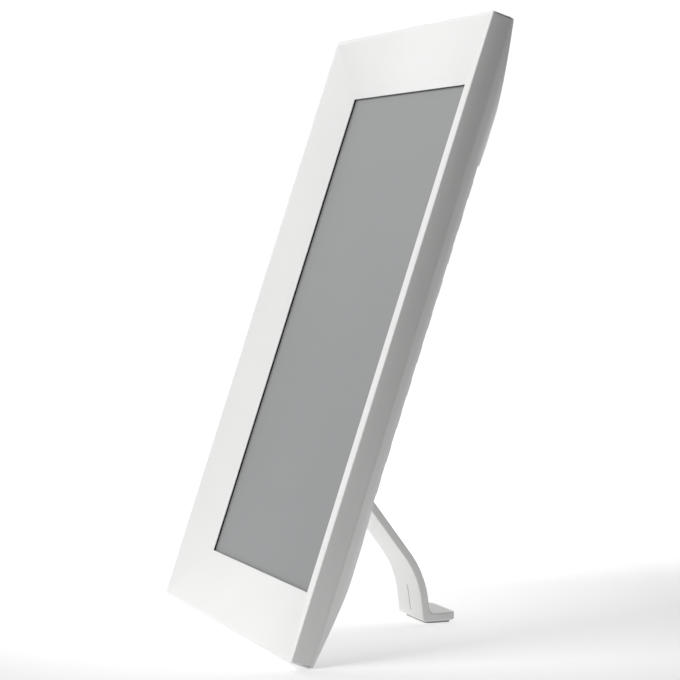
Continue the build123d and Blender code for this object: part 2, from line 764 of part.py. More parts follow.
def screws(places, seat, length, shank, head, head_height):
    """Pan-head screws driven towards the front, heads on a seat at this depth."""
    with BuildPart() as made:
        with BuildSketch(at_depth(seat)):
            with Locations(*places):
                Circle(shank / 2)
        extrude(amount=length)
        with BuildSketch(at_depth(seat)):
            with Locations(*places):
                Circle(head / 2)
        extrude(amount=-head_height)
    return made.part


bracket_screws = screws(
    bracket_bosses, panel_back + bracket_sheet, bracket_screw_length, small_screw, small_head,
    small_head_height,
)
bracket_screws.label = "bracket_screws"
export_step(bracket_screws, "parts/bracket_screws.step")

case_screws = screws(
    case_bosses, screw_floor, screw_floor - case_tip - thread_fit, case_screw, case_screw_head,
    case_head_height,
)
case_screws.label = "case_screws"
export_step(case_screws, "parts/case_screws.step")

# ================================================================ main board and card socket
board_cut_right = socket_right + port_fit

with BuildPart() as main_board:
    with BuildSketch(at_depth(board_front)):
        with Locations(((board_left + board_right) / 2, (board_bottom + board_top) / 2)):
            Rectangle(main_board_width, main_board_height)
        # cut-out for the sunken card socket, open to the side
        with Locations(((board_left + board_cut_right) / 2, card_y)):
            Rectangle(board_cut_right - board_left, socket_height + 2 * port_fit, mode=Mode.SUBTRACT)
        with Locations(*board_screws_at):
            Circle(small_screw / 2 + thread_fit, mode=Mode.SUBTRACT)
    extrude(amount=-board_thick)
main_board.part.label = "main_board"
export_step(main_board.part, "parts/main_board.step")

with BuildPart() as card_socket:
    with BuildSketch(at_depth(socket_front)):
        with Locations(((socket_left + socket_right) / 2, card_y)):
            Rectangle(card_socket_length, socket_height)
    extrude(amount=-socket_thick)
    # the card's chute, closed at its inner end
    with BuildSketch(at_depth(socket_front + card_socket_sheet)):
        with Locations(((socket_left + socket_right) / 2 - card_socket_sheet, card_y)):
            Rectangle(card_socket_length, card_width)
    extrude(amount=-card_slot, mode=Mode.SUBTRACT)
card_socket.part.label = "card_socket"
export_step(card_socket.part, "parts/card_socket.step")

with BuildPart() as processor:
    with BuildSketch(at_depth(board_back)):
        with Locations((tab_middle - (chip_gap + processor_size) / 2, card_y)):
            Rectangle(processor_size, processor_size)
    extrude(amount=-processor_height)
    chamfer(processor.faces().sort_by(Axis.Y)[-1].edges(), processor_edge)
processor.part.label = "processor"
export_step(processor.part, "parts/processor.step")

with BuildPart() as memory_chips:
    with BuildSketch(at_depth(board_back)):
        with Locations((tab_middle + (chip_gap + memory_width) / 2, card_y)):
            with GridLocations(1, memory_length + memory_gap, 1, 2):
                Rectangle(memory_width, memory_length)
    extrude(amount=-memory_height)
memory_chips.part.label = "memory_chips"
export_step(memory_chips.part, "parts/memory_chips.step")

board_screws = screws(
    board_screws_at, board_back, board_thick + board_pad + bracket_sheet / 2, small_screw, small_head,
    small_head_height,
)
board_screws.label = "board_screws"
export_step(board_screws, "parts/board_screws.step")

# ================================================================ port board, jack and USB socket
port_board_middle = board_left + port_board_width / 2
body_inset = flank_inset(port_board_front) + 2 * port_fit    # the jack's body starts clear of the flank
with BuildPart() as port_board:
    with BuildSketch(at_depth(port_board_front)):
        with Locations((port_board_middle, port_board_height)):
            Rectangle(port_board_width, port_board_length)
        with Locations(port_boss):
            Circle(small_screw / 2 + thread_fit, mode=Mode.SUBTRACT)
    extrude(amount=-board_thick)
port_board.part.label = "port_board"
export_step(port_board.part, "parts/port_board.step")

port_board_screw = screws(
    [port_boss], port_board_back, port_board_back - port_tip - 2 * thread_fit, small_screw, small_head,
    small_head_height,
)
port_board_screw.label = "port_board_screw"
export_step(port_board_screw, "parts/port_board_screw.step")

with BuildPart() as dc_jack:
    with BuildSketch(side_face.offset(body_inset)):
        with Locations((jack_y, -jack_depth)):
            Rectangle(jack_width, jack_height)
    extrude(amount=jack_length - body_inset)
    # round nose through the side wall, then the plug's bore and its centre pin
    with BuildSketch(side_face.offset(jack_mouth_inset)):
        with Locations((jack_y, -jack_depth)):
            Circle(jack_nose / 2)
    extrude(amount=body_inset - jack_mouth_inset)
    with BuildSketch(side_face.offset(jack_mouth_inset)):
        with Locations((jack_y, -jack_depth)):
            Circle(jack_bore / 2)
    extrude(amount=jack_length - jack_mouth_inset - wall, mode=Mode.SUBTRACT)
    with BuildSketch(side_face.offset(jack_mouth_inset)):
        with Locations((jack_y, -jack_depth)):
            Circle(jack_lead / 2)
    extrude(amount=body_inset - jack_mouth_inset, mode=Mode.SUBTRACT)
    with BuildSketch(side_face.offset(body_inset + jack_pin_setback)):
        with Locations((jack_y, -jack_depth)):
            Circle(jack_pin / 2)
    extrude(amount=jack_length - body_inset - jack_pin_setback - wall / 2)
dc_jack.part.label = "dc_jack"
export_step(dc_jack.part, "parts/dc_jack.step")

with BuildPart() as usb_socket:
    with BuildSketch(side_face.offset(usb_mouth_inset)):
        with Locations((usb_y, -usb_depth)):
            Rectangle(usb_width, usb_height)
    extrude(amount=usb_length)
    with BuildSketch(side_face.offset(usb_mouth_inset)):
        with Locations((usb_y, -usb_depth)):
            Rectangle(usb_width - 2 * usb_sheet, usb_height - 2 * usb_sheet)
            Rectangle(usb_width - 2 * usb_sheet - 2 * usb_tongue_gap, usb_tongue, mode=Mode.SUBTRACT)
    extrude(amount=usb_length - 2 * usb_sheet, mode=Mode.SUBTRACT)
usb_socket.part.label = "usb_socket"
export_step(usb_socket.part, "parts/usb_socket.step")

coil_x = port_boss[0] + small_head / 2 + coil_gap + coil_size / 2
with BuildPart() as power_coil:
    with BuildSketch(at_depth(port_board_back)):
        with Locations((coil_x, jack_y)):
            Rectangle(coil_size, coil_size)
    extrude(amount=-coil_height)
power_coil.part.label = "power_coil"
export_step(power_coil.part, "parts/power_coil.step")

# flat cable behind the display, from the port board's back to the main board's front
link_bottom = port_board_top - 2 * small_head
link_top = board_bottom + 2 * small_head
with BuildPart() as link_cable:
    with BuildSketch(at_depth(board_front)):
        with Locations((link_inset - side_x, (link_bottom + link_top) / 2)):
            Rectangle(link_width, link_top - link_bottom)
    extrude(amount=link_thick)
link_cable.part.label = "link_cable"
export_step(link_cable.part, "parts/link_cable.step")


def ribbon(across, width, path):
    """Flat cable of link_thick, its front face along (height, depth) points in the side view."""
    rear = [(y, -depth - link_thick) for y, depth in path]
    front = [(y, -depth) for y, depth in reversed(path)]
    with BuildPart() as made:
        with BuildSketch(side_plane.offset(across)):
            with BuildLine():
                Polyline(*(rear + front), close=True)
            make_face()
        extrude(amount=width / 2, both=True)
    return made.part


board_face = board_front - link_thick
display_cable = ribbon(
    tab_middle,
    display_cable_width,
    [
        (board_top - 2 * small_head, board_face),
        (board_top + board_pad, board_face),
        (board_top + 2 * small_head - board_pad, panel_back),
        (board_top + 2 * small_head, panel_back),
    ],
)
display_cable.label = "display_cable"
export_step(display_cable, "parts/display_cable.step")

cable_low = upper_bracket_height - bracket_width / 2
button_cable = ribbon(
    (small_head + button_cable_width) / 2 + cable_clear - boss_x,
    button_cable_width,
    [
        (button_heights[-1] + switch_size / 2 + board_pad, button_board_back),
        (cable_low - bracket_width, button_board_back),
        (cable_low - board_pad, board_face),
        (board_bottom + small_head, board_face),
    ],
)
button_cable.label = "button_cable"
export_step(button_cable, "parts/button_cable.step")

# ================================================================ speakers
for side, name in ((-1, "left_speaker"), (1, "right_speaker")):
    with BuildPart() as speaker:
        with BuildSketch(at_depth(skin_depth)):
            with Locations((side * speaker_x, speaker_y)):
                RectangleRounded(speaker_width, speaker_length, wall)
        extrude(amount=speaker_depth)
        # cone recess behind the sound slots
        with BuildSketch(at_depth(skin_depth)):
            with Locations((side * speaker_x, speaker_y)):
                RectangleRounded(speaker_width - wall, speaker_length - wall, wall / 2)
        extrude(amount=cone_recess, mode=Mode.SUBTRACT)
    speaker.part.label = name
    export_step(speaker.part, "parts/" + name + ".step")

# ================================================================ buttons
board_outer = -button_x - button_board_outer
board_inner = -nest_x - button_board_gap
board_low = button_heights[0] - button_board_margin
board_high = button_heights[-1] + button_board_margin
with BuildPart() as button_board:
    with BuildSketch(at_depth(button_board_front)):
        with Locations(((board_outer + board_inner) / 2, (board_low + board_high) / 2)):
            Rectangle(board_inner - board_outer, board_high - board_low)
        with Locations(*board_posts):
            Circle(small_screw / 2 + thread_fit, mode=Mode.SUBTRACT)
    extrude(amount=-board_thick)
button_board.part.label = "button_board"
export_step(button_board.part, "parts/button_board.step")

button_board_screws = screws(
    board_posts, button_board_back, button_board_back - post_tip - 2 * thread_fit, small_screw,
    small_head, small_head_height,
)
button_board_screws.label = "button_board_screws"
export_step(button_board_screws, "parts/button_board_screws.step")

with BuildPart() as tact_switches:
    with BuildSketch(at_depth(button_board_back)):
        with Locations(*[(-button_x, y) for y in button_heights]):
            Rectangle(switch_size, switch_size)
    extrude(amount=-switch_height)
    with BuildSketch(at_depth(button_board_back + switch_height)):
        with Locations(*[(-button_x, y) for y in button_heights]):
            Circle(plunger_diameter / 2)
    extrude(amount=-plunger_height)
tact_switches.part.label = "tact_switches"
export_step(tact_switches.part, "parts/tact_switches.step")

for name, height in zip(button_names, button_heights):
    with BuildPart() as button:
        with BuildSketch(at_depth(flange_back)):
            with Locations((-button_x, height)):
                Circle(button_diameter / 2)
        extrude(amount=flange_back - button_seat - button_proud)
        chamfer(button.faces().sort_by(Axis.Y)[-1].edges(), button_edge)
        with BuildSketch(at_depth(flange_back)):
            with Locations((-button_x, height)):
                Circle(button_flange / 2)
        extrude(amount=button_flange_thick)
    button.part.label = name
    export_step(button.part, "parts/" + name + ".step")
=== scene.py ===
"""Looks of the digital photo frame: white moulded shells, a matte screen and what its openings show."""
import json
import math

import bpy
from mathutils import Matrix, Vector


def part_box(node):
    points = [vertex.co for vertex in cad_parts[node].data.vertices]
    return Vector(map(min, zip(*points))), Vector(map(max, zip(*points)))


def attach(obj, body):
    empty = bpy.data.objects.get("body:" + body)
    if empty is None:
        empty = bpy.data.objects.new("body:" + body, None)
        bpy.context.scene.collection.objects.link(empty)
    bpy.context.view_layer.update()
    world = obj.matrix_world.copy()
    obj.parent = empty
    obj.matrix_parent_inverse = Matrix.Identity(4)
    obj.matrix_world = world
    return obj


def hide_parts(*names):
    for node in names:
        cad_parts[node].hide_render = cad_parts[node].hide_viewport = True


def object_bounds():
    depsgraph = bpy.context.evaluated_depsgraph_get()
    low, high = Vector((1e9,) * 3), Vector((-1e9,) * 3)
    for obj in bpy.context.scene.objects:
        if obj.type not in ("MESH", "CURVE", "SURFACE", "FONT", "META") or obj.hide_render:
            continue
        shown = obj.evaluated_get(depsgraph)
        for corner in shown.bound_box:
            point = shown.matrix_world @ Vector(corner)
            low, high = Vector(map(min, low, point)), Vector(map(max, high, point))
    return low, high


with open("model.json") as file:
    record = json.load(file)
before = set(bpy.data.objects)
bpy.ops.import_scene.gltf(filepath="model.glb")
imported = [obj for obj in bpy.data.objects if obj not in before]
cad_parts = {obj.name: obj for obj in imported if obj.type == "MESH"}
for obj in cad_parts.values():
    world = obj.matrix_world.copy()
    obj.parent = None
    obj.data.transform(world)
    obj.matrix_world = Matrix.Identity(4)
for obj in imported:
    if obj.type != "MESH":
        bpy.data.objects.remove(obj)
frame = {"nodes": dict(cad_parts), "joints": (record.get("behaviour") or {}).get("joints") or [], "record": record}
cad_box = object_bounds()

bpy.ops.object.select_all(action="DESELECT")
nodes = frame["nodes"]
joints = {joint["child"]: joint for joint in frame["joints"]}
MM = 0.001
WELD = 0.001 * MM            # corners closer than this are one
TOUCH = 0.01 * MM            # places closer than this are at the same depth
FACING = 0.9                 # least share of a face's normal along the axis that the face looks along
FLAT = 0.99                  # the same, for a face square to the axis
SQUARE_EDGES = 60            # degrees: only the edges between faces about square to each other
BUTTONS = [name for name in nodes if name.endswith("_button")]

# the case's own axes: x across it, y up it, z out of its front, as the buttons travel
front = Vector(joints[BUTTONS[0] + "_body"]["axis"])
case_turn = Matrix((Vector((1, 0, 0)), front.cross(Vector((1, 0, 0))), front)).transposed().to_4x4()
CASE_TILT = case_turn.to_euler().x


# ---------------------------------------------------------------- materials
def tint(code):
    """Linear colour of an sRGB hex code."""
    parts = [int(code[i:i + 2], 16) / 255 for i in (1, 3, 5)]
    return [p / 12.92 if p <= 0.04045 else ((p + 0.055) / 1.055) ** 2.4 for p in parts] + [1.0]


def add(tree, kind, links=None, **settings):
    """Adds a node to a tree, sets its properties or sockets by name, and links its inputs."""
    made = tree.nodes.new(kind)
    for name, value in settings.items():
        if hasattr(made, name):
            setattr(made, name, value)
        else:
            made.inputs[name.replace("_", " ")].default_value = value
    for socket, source in (links or {}).items():
        tree.links.new(source, made.inputs[socket])
    return made


def material(name, **sockets):
    """A new material, its tree and its shader, with constants on the shader's own sockets."""
    made = bpy.data.materials.new(name)
    made.use_nodes = True
    shader = made.node_tree.nodes["Principled BSDF"]
    for socket, value in sockets.items():
        shader.inputs[socket.replace("_", " ")].default_value = value
    return made, made.node_tree, shader


def case_place(tree, stretch=(1, 1, 1)):
    """Coordinates along the case's axes, in metres, stretched so that a pattern runs along one of them."""
    place = add(tree, "ShaderNodeTexCoord").outputs["Object"]
    turned = add(tree, "ShaderNodeMapping", {"Vector": place}, Rotation=(-CASE_TILT, 0, 0))
    return add(tree, "ShaderNodeMapping", {"Vector": turned.outputs[0]}, Scale=stretch).outputs[0]


def finish(tree, shader, factor, light, dark, grain, smooth, rough, bump_mm, soft_mm=0.0):
    """Links a material's colour between two tints, its roughness, its relief and its softened edges."""
    colour = add(tree, "ShaderNodeMix", {"Factor": factor}, data_type="RGBA")
    colour.inputs["A"].default_value = tint(light)
    colour.inputs["B"].default_value = tint(dark)
    gloss = add(tree, "ShaderNodeMapRange", {"Value": grain}, To_Min=smooth, To_Max=rough)
    relief = add(tree, "ShaderNodeBump", {"Height": grain}, Strength=0.3, Distance=bump_mm * MM)
    if soft_mm:
        edges = add(tree, "ShaderNodeBevel", samples=4, Radius=soft_mm * MM)
        tree.links.new(edges.outputs["Normal"], relief.inputs["Normal"])
    tree.links.new(colour.outputs["Result"], shader.inputs["Base Color"])
    tree.links.new(gloss.outputs["Result"], shader.inputs["Roughness"])
    tree.links.new(relief.outputs["Normal"], shader.inputs["Normal"])


DRIFT_SCALE = 18.0           # per metre: patches of tint about 55 mm across
MOULDED_SPREAD = 0.05        # roughness either side of a moulding's own
METAL_SPREAD = 0.08          # and of a metal's


def moulded(name, light, dark, rough, grain_mm, bump_mm, soft_mm=0.0, **sockets):
    """A moulded or die-cut polymer: a slow drift of colour and an even fine grain from the tool."""
    made, tree, shader = material(name, **sockets)
    place = add(tree, "ShaderNodeTexCoord").outputs["Object"]
    drift = add(tree, "ShaderNodeTexNoise", {"Vector": place}, Scale=DRIFT_SCALE, Detail=2.0)
    grain = add(tree, "ShaderNodeTexNoise", {"Vector": place}, Scale=1 / (grain_mm * MM), Detail=3.0)
    finish(tree, shader, drift.outputs["Fac"], light, dark, grain.outputs["Fac"],
           rough - MOULDED_SPREAD, rough + MOULDED_SPREAD, bump_mm, soft_mm)
    return made


def metal(name, light, dark, rough, streak_mm, stretch, bump_mm):
    """A worked metal: streaks along the rolling, drawing or turning direction."""
    made, tree, shader = material(name, Metallic=1.0)
    place = case_place(tree, stretch)
    streaks = add(tree, "ShaderNodeTexNoise", {"Vector": place}, Scale=1 / (streak_mm * MM), Detail=4.0)
    finish(tree, shader, streaks.outputs["Fac"], light, dark, streaks.outputs["Fac"],
           rough - METAL_SPREAD, rough + METAL_SPREAD, bump_mm)
    return made


# satin injection-moulded ABS, near white: broad soft highlights and a grain that only shows close up
white_abs = moulded("white_abs_satin", "#f2f2f1", "#ececeb", 0.38, 0.4, 0.01, soft_mm=0.2, IOR=1.53)
# the key tops come from a polished tool, a little glossier than the shells
key_abs = moulded("white_abs_polished", "#f2f2f1", "#ececeb", 0.24, 0.3, 0.006, soft_mm=0.15, IOR=1.53)
# hazy triacetate film over black glass: an even grey with no sharp reflection
screen_film = moulded("antiglare_polariser_film", "#8f9091", "#8b8c8d", 0.45, 0.15, 0.004, IOR=1.48)
# closed-cell foam: dead black, pitted
black_foam = moulded("black_pe_foam", "#1a1a1a", "#101010", 0.92, 0.5, 0.1, IOR=1.4)
# pressed silicone: a soft dull grey that grips
grey_silicone = moulded("grey_silicone_rubber", "#8f8f8e", "#858584", 0.7, 0.3, 0.03, IOR=1.41)
# glossy black PBT of connectors and switches, with the glass fill just showing
black_pbt = moulded("black_glass_filled_pbt", "#1f1f20", "#151516", 0.33, 0.25, 0.01, IOR=1.57)
# epoxy moulding compound of chip packages: charcoal, matt from the spark-eroded tool
chip_epoxy = moulded("black_epoxy_compound", "#2a2a2b", "#202021", 0.6, 0.2, 0.02, IOR=1.55)
# sintered manganese-zinc ferrite: dark grey with a granular break
coil_ferrite = moulded("grey_ferrite", "#4a4a4c", "#38383a", 0.55, 0.35, 0.03, IOR=1.8)
# pressed paper pulp and carbon black of the loudspeaker's cone and basket
speaker_pulp = moulded("black_cone_pulp", "#26262a", "#18181b", 0.8, 0.6, 0.06, IOR=1.45)
# milky polyester diffuser films: even white that lights up from behind
diffuser_pet = moulded("milky_pet_film", "#eceff2", "#e2e6ea", 0.42, 0.2, 0.004, IOR=1.58,
                       Transmission_Weight=0.25)
# clear cast acrylic with its fine printed dots
guide_pmma = moulded("clear_acrylic", "#f4f7f8", "#e6edf0", 0.12, 0.5, 0.008, IOR=1.49,
                     Transmission_Weight=0.85)
# galvanised sheet: cool grey with long rolling streaks
galvanised = metal("galvanised_steel_sheet", "#b9bcbe", "#9b9fa2", 0.38, 1.6, (1, 0.08, 1), 0.004)
# nickel-plated connector shells, bright, with faint drawing marks along the plug's way
nickel_plate = metal("nickel_plated_shell", "#cfcbc4", "#b5b1a9", 0.26, 0.6, (0.1, 1, 1), 0.003)
# zinc-plated screw steel, slightly blue and brushed by the turning
zinc_steel = metal("zinc_plated_screw_steel", "#bfc3c8", "#9ea3a9", 0.3, 0.5, (1, 1, 0.2), 0.004)
# ground hinge-pin steel
ground_steel = metal("ground_pin_steel", "#c4c4c2", "#a9a9a7", 0.22, 0.3, (0.15, 1, 1), 0.002)
# hard gold flash on spring contacts
gold_flash = metal("gold_flashed_bronze", "#e3bd72", "#c99d52", 0.24, 0.4, (0.2, 1, 1), 0.002)


def solder_mask():
    """Glass-epoxy board under green solder mask: darker laminate between copper runs that show through."""
    made, tree, shader = material("green_solder_mask", IOR=1.55, Coat_Weight=0.4, Coat_Roughness=0.15)
    place = case_place(tree)
    runs = add(tree, "ShaderNodeTexBrick", {"Vector": place}, Scale=1 / (9 * MM), Mortar_Size=0.045,
               Mortar_Smooth=0.1, Brick_Width=0.9, Row_Height=0.16)
    runs.inputs["Color1"].default_value = tint("#155a38")
    runs.inputs["Color2"].default_value = tint("#125033")
    runs.inputs["Mortar"].default_value = tint("#2b8457")
    weave = add(tree, "ShaderNodeTexNoise", {"Vector": place}, Scale=1 / (0.5 * MM), Detail=2.0)
    gloss = add(tree, "ShaderNodeMapRange", {"Value": weave.outputs["Fac"]}, To_Min=0.3, To_Max=0.45)
    relief = add(tree, "ShaderNodeBump", {"Height": runs.outputs["Fac"]}, Strength=0.4, Distance=0.035 * MM)
    tree.links.new(runs.outputs["Color"], shader.inputs["Base Color"])
    tree.links.new(gloss.outputs["Result"], shader.inputs["Roughness"])
    tree.links.new(relief.outputs["Normal"], shader.inputs["Normal"])
    return made


CONDUCTOR_PITCH = 1.0 * MM
LED_PITCH = 9.0 * MM
LED_HALF = 1.2 * MM          # from the middle of a phosphor pad to its soft edge
LED_EDGE = 0.3 * MM


def flat_cable():
    """White polyester flat cable: tinned conductors 1 mm apart show as grey lines along it."""
    made, tree, shader = material("white_flat_cable", IOR=1.57)
    place = case_place(tree)
    across = add(tree, "ShaderNodeSeparateXYZ", {"Vector": place}).outputs["X"]
    lines = add(tree, "ShaderNodeMath", {0: across}, operation="MULTIPLY")
    lines.inputs[1].default_value = 2 * math.pi / CONDUCTOR_PITCH
    wave = add(tree, "ShaderNodeMath", {0: lines.outputs[0]}, operation="SINE")
    core = add(tree, "ShaderNodeMapRange", {"Value": wave.outputs[0]}, From_Min=-0.2, From_Max=0.6)
    finish(tree, shader, core.outputs["Result"], "#e9e9e6", "#b4b6b6", core.outputs["Result"],
           0.3, 0.4, 0.06)
    return made


def led_strip():
    """White-masked strip: a yellow phosphor pad every 9 mm."""
    made, tree, shader = material("white_led_strip", IOR=1.5)
    place = case_place(tree)
    across = add(tree, "ShaderNodeSeparateXYZ", {"Vector": place}).outputs["X"]
    step = add(tree, "ShaderNodeMath", {0: across}, operation="PINGPONG")
    step.inputs[1].default_value = LED_PITCH / 2
    pad = add(tree, "ShaderNodeMapRange", {"Value": step.outputs[0]}, From_Min=LED_HALF,
              From_Max=LED_HALF + LED_EDGE)
    finish(tree, shader, pad.outputs["Result"], "#e8d24a", "#eeeeea", pad.outputs["Result"],
           0.3, 0.5, 0.2)
    return made


green_board = solder_mask()
ribbon_cable = flat_cable()
led_board = led_strip()


def dress(names, made):
    """Gives CAD nodes a finish."""
    for name in names:
        for place in nodes[name].material_slots:
            place.material = made


dress(["front_frame", "rear_cover", "leg"], white_abs)
dress(BUTTONS, key_abs)
dress(["lcd_cell"], screen_film)
dress(["panel_gasket"], black_foam)
dress(["foot_pad"], grey_silicone)
dress(["dc_jack", "tact_switches"], black_pbt)
dress(["processor", "memory_chips"], chip_epoxy)
dress(["power_coil"], coil_ferrite)
dress(["left_speaker", "right_speaker"], speaker_pulp)
dress(["diffuser_films"], diffuser_pet)
dress(["light_guide"], guide_pmma)
dress(["led_bar"], led_board)
dress(["backlight_tray", "upper_bracket", "lower_bracket"], galvanised)
dress(["card_socket", "usb_socket"], nickel_plate)
dress([name for name in nodes if name.endswith(("_screw", "_screws"))], zinc_steel)
dress(["hinge_pin", "friction_washers"], ground_steel)
dress(["main_board", "port_board", "button_board"], green_board)
dress(["link_cable", "display_cable", "button_cable"], ribbon_cable)


# ---------------------------------------------------------------- modelling by hand
def corners(places):
    """The lowest and the highest corner of the box round some places."""
    return [Vector([pick(place[i] for place in places) for i in range(3)]) for pick in (min, max)]


def case_box(node):
    """Lowest and highest corners of a CAD node along the case's axes."""
    return corners([case_turn.inverted() @ vertex.co for vertex in nodes[node].data.vertices])


def only(piece):
    """Makes a piece the only selected object, and the active one."""
    bpy.ops.object.select_all(action="DESELECT")
    piece.select_set(True)
    bpy.context.view_layer.objects.active = piece


def freeze():
    """Moves the place, turn and scale of what is selected into its mesh."""
    bpy.ops.object.transform_apply(location=True, rotation=True, scale=True)


def edit_all(piece):
    """Opens a piece in edit mode with everything selected."""
    only(piece)
    bpy.ops.object.mode_set(mode="EDIT")
    bpy.ops.mesh.select_all(action="SELECT")


def select_just(mesh, chosen):
    """Flags the chosen faces or edges, and nothing else, for the next time edit mode opens."""
    for items in (mesh.vertices, mesh.edges, mesh.polygons):
        for item in items:
            item.select = False
    for item in chosen:
        item.select = True
    bpy.ops.object.mode_set(mode="EDIT")


def edit_faces(piece, wanted):
    """Opens a piece in edit mode with only the faces that pass a test selected."""
    only(piece)
    bpy.ops.object.mode_set(mode="EDIT")
    bpy.ops.mesh.select_mode(type="FACE")
    bpy.ops.object.mode_set(mode="OBJECT")
    select_just(piece.data, [face for face in piece.data.polygons if wanted(face)])


def edit_edges(piece, wanted, sharp_from=30):
    """Opens a piece in edit mode with only those sharp edges selected whose two ends pass a test."""
    only(piece)
    bpy.ops.object.mode_set(mode="EDIT")
    bpy.ops.mesh.select_mode(type="EDGE")
    bpy.ops.mesh.select_all(action="DESELECT")
    bpy.ops.mesh.edges_select_sharp(sharpness=math.radians(sharp_from))
    bpy.ops.object.mode_set(mode="OBJECT")
    mesh = piece.data
    select_just(mesh, [edge for edge in mesh.edges
                       if edge.select and wanted(*[mesh.vertices[i].co for i in edge.vertices])])


def at_depth(depth):
    """A test for edges that lie at one depth of the case."""
    return lambda a, b: max(abs(a.z - depth), abs(b.z - depth)) < TOUCH


def close_edit():
    """Leaves edit mode."""
    bpy.ops.object.mode_set(mode="OBJECT")


def bevel(width, segments):
    """Rounds what is selected."""
    bpy.ops.mesh.bevel(offset=width, segments=segments, affect="EDGES", clamp_overlap=False)


def push(z=0.0):
    """Extrudes what is selected along the z axis."""
    bpy.ops.mesh.extrude_region_move(TRANSFORM_OT_translate={"value": (0, 0, z)})


def scale_about(middle, factor):
    """Scales what is selected about a point, square to the case's depth."""
    bpy.ops.transform.resize(value=(factor, factor, 1), center_override=middle)


def apply_modifier(piece, kind, **settings):
    """Adds a modifier with its settings and applies it."""
    only(piece)
    step = piece.modifiers.new(kind.lower(), kind)
    for name, value in settings.items():
        setattr(step, name, value)
    bpy.ops.object.modifier_apply(modifier=step.name)


def block(low, high):
    """A cuboid between two corners, to be shaped further."""
    bpy.ops.mesh.primitive_cube_add(size=1, location=(low + high) / 2)
    piece = bpy.context.object
    piece.scale = high - low
    freeze()
    return piece


def drum(middle, radius, low, high, sides=48):
    """A round blank along the case's depth, to be shaped further."""
    place = (middle.x, middle.y, (low + high) / 2)
    bpy.ops.mesh.primitive_cylinder_add(vertices=sides, radius=radius, depth=high - low, location=place)
    freeze()
    return bpy.context.object


def copied(piece, offset):
    """A copy of a piece with its own mesh, moved by an offset."""
    twin = piece.copy()
    twin.data = piece.data.copy()
    bpy.context.scene.collection.objects.link(twin)
    only(twin)
    twin.location = offset
    freeze()
    return twin


def case_copy(node):
    """A copy of a CAD node along the case's axes, its triangles merged, open in edit mode."""
    piece = nodes[node].copy()
    piece.data = nodes[node].data.copy()
    piece.parent = None
    piece.matrix_world = case_turn.inverted()
    bpy.context.scene.collection.objects.link(piece)
    only(piece)
    freeze()
    edit_all(piece)
    bpy.ops.mesh.remove_doubles(threshold=WELD)
    return piece


def joined(pieces):
    """Several meshes as one piece."""
    only(pieces[0])
    for piece in pieces:
        piece.select_set(True)
    bpy.ops.object.join()
    return bpy.context.object


SMOOTH_BELOW = math.radians(32)   # faces that meet at less than this are shaded as one surface


def settle(piece, name, body, made, stands_for=(), tilted=True):
    """Turns a finished piece from the case's axes into place, and gives it its finish, body and slot."""
    only(piece)
    if tilted:
        piece.matrix_world = case_turn @ piece.matrix_world
    freeze()
    bpy.ops.object.shade_smooth_by_angle(angle=SMOOTH_BELOW)
    piece.name = name
    piece.data.name = name
    piece.data.materials.clear()
    piece.data.materials.append(made)
    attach(piece, body)
    if stands_for:
        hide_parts(*stands_for)


def solids_of(node):
    """Corners, along the case's axes, of each separate solid in a CAD node."""
    case_copy(node)
    bpy.ops.mesh.separate(type="LOOSE")
    close_edit()
    found = []
    for part in list(bpy.context.selected_objects):
        found.append(corners([vertex.co.copy() for vertex in part.data.vertices]))
        bpy.data.objects.remove(part)
    return sorted(found, key=lambda box: (round(box[0].y, 5), box[0].x))


# ---------------------------------------------------------------- front frame with softened edges
RIM = 1.8 * MM               # flat lip round the bezel
BEZEL = 27.0 * MM            # from the outside edge to the opening
RECESS = 7.5 * MM            # how far the bezel slopes in
SLACK = 0.02 * MM            # places this close to the rim or the slope are on it
SAME_PLANE = math.radians(0.2)   # triangles that meet at less than this are one face
SHARP_FROM = 12              # degrees between faces whose edge is rounded
EDGE_SOFTNESS = 0.3 * MM


def front_moulding():
    """The front frame with the small radii that its mould leaves on every edge seen from the front."""
    low, high = case_box("front_frame")
    piece = case_copy("front_frame")
    bpy.ops.mesh.dissolve_limited(angle_limit=SAME_PLANE)
    close_edit()

    def on_the_front(place):
        inset = min(place.x - low.x, high.x - place.x, place.y - low.y, high.y - place.y)
        slope = max(0.0, RECESS * (inset - RIM) / (BEZEL - RIM))
        return high.z - place.z < slope + SLACK and inset < BEZEL - SLACK

    edit_edges(piece, lambda a, b: on_the_front(a) and on_the_front(b), SHARP_FROM)
    bevel(EDGE_SOFTNESS, 3)
    close_edit()
    apply_modifier(piece, "WEIGHTED_NORMAL")
    settle(piece, "front_frame_moulding", "case", white_abs, ["front_frame"])


# ---------------------------------------------------------------- screws
HEAD_DOME = 0.35             # share of a head's height that is rounded
RECESS_SPAN = 0.62           # reach of the cross recess, as a share of the head's radius
RECESS_WIDTH = 0.17          # half the width of its arms, as a share of the same
RECESS_DEPTH = 0.65          # share of the head's height
RECESS_TAPER = 0.6           # the recess's floor for its mouth
RECESS_OVER = 0.1 * MM       # the cutting bars start this far outside the head
TIP_SHARE = 0.45             # a screw's tip for its shank
# height of the head and radius of the shank of each set, in millimetres
SCREWS = {"case_screws": (1.2, 1.3), "bracket_screws": (0.7, 1.0), "board_screws": (0.7, 1.0),
          "port_board_screw": (0.7, 1.0), "button_board_screws": (0.7, 1.0)}


